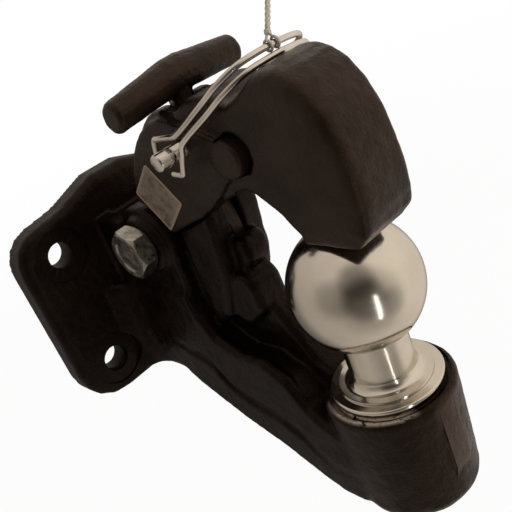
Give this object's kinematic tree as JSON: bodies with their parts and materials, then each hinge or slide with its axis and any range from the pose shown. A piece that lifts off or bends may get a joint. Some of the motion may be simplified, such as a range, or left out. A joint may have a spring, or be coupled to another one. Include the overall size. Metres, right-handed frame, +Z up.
{
  "type": "combination hitch",
  "caption": "Bolt-on pintle hitch with a tow ball on a forged arm and a pivoting latch that closes over it, held by a sprung lever and a pin with a wire bail.",
  "frame": {"origin": "centre of the mounting plate's flat back face, midway between its four bolt holes", "axes": "+X forward from the plate to the ball, +Y to the side of the pivot nut and the lock pin's head, +Z up"},
  "size_m": [0.2078, 0.1424, 0.2593],
  "materials": {
    "black_paint": "glossy black paint over a rough forging",
    "polished_steel": "satin chrome",
    "zinc_plate": "zinc plated",
    "plain_steel": "plain machined steel",
    "label_paper": "plain satin film",
    "cord_fibre": "twisted natural fibre"
  },
  "bodies": {
    "body": {"hitch_body": "black_paint", "pivot_bolt": "zinc_plate", "pivot_washer": "zinc_plate", "pivot_nut": "zinc_plate", "pivot_sleeve": "plain_steel", "hitch_ball": "polished_steel", "ball_washer": "zinc_plate", "ball_nut": "zinc_plate"},
    "latch": {"latch": "black_paint", "label_sticker": "label_paper", "lever_pin": "plain_steel", "lever_spring": "plain_steel"},
    "lever": {"lock_lever": "plain_steel", "lock_handle": "black_paint", "handle_roll_pin": "plain_steel"},
    "pin": {"lock_pin": "zinc_plate"},
    "bail": {"wire_bail": "zinc_plate", "cord_knot": "cord_fibre", "tie_cord": "cord_fibre", "cord_end_knot": "cord_fibre"}
  },
  "joints": [
    {"name": "latch_open", "type": "hinge", "parent": "body", "child": "latch", "pos_m": [0.0623, 0, 0.0313], "axis": [0, -1, 0], "range_deg": [0, 60]},
    {"name": "lock_release", "type": "hinge", "parent": "latch", "child": "lever", "pos_m": [0.102, 0, 0.066], "axis": [0, 1, 0], "range_deg": [0, 10], "deforming": ["lever_spring"]},
    {"name": "pin_turn", "type": "hinge", "parent": "latch", "child": "pin", "pos_m": [0.123, 0, 0.082], "axis": [0, -1, 0], "range_deg": [0, 12]},
    {"name": "bail_open", "type": "hinge", "parent": "pin", "child": "bail", "pos_m": [0.123, 0.0285, 0.082], "axis": [-0.5299, 0, 0.848], "range_deg": [0, 15]}
  ]
}
